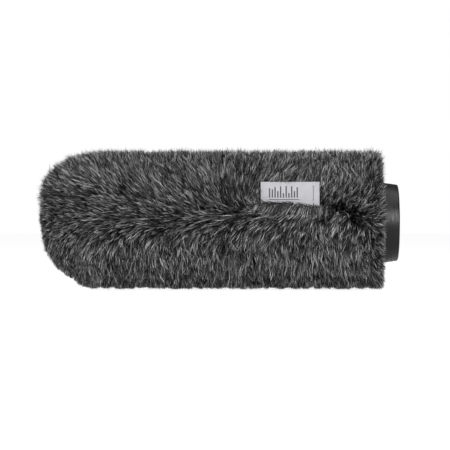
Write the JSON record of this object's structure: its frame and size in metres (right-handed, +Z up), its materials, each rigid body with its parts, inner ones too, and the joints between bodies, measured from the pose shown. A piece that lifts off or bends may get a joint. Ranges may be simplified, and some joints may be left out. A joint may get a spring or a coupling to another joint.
{
  "type": "furry windscreen",
  "caption": "Slip-on long-fur windscreen for a shotgun microphone: domed fur cover over a slotted foam tube, with a rubber collar that grips the microphone.",
  "frame": {"origin": "centre of the overall box, on the surface that the windscreen lies on", "axes": "+X along the microphone's axis towards the collar, +Z up, the label on the -Y side"},
  "size_m": [0.2584, 0.1, 0.0982],
  "materials": {
    "rubber": "satin moulded rubber",
    "foam": "open-cell foam, matt",
    "backing": "knitted, matt",
    "fur": "long fur of mixed dark grey fibres",
    "thread": "twisted polyester",
    "label": "woven satin"
  },
  "bodies": {
    "windscreen": {"rubber_collar": "rubber", "foam_tube": "foam", "foam_nose": "foam", "fur_backing_upper": "backing", "fur_backing_lower": "backing", "fur_pile_upper": "fur", "fur_pile_lower": "fur", "seam_thread": "thread", "hem_thread": "thread", "hem_tape": "backing", "label_tail": "label"},
    "label": {"label_flap": "label"}
  },
  "joints": [
    {"name": "label_fold", "type": "hinge", "parent": "windscreen", "child": "label", "pos_m": [0.05132, -0.04344, 0.05783], "axis": [1, 0, 0], "range_deg": [0, 130], "stiffness_Nm_per_rad": 0.0004}
  ]
}
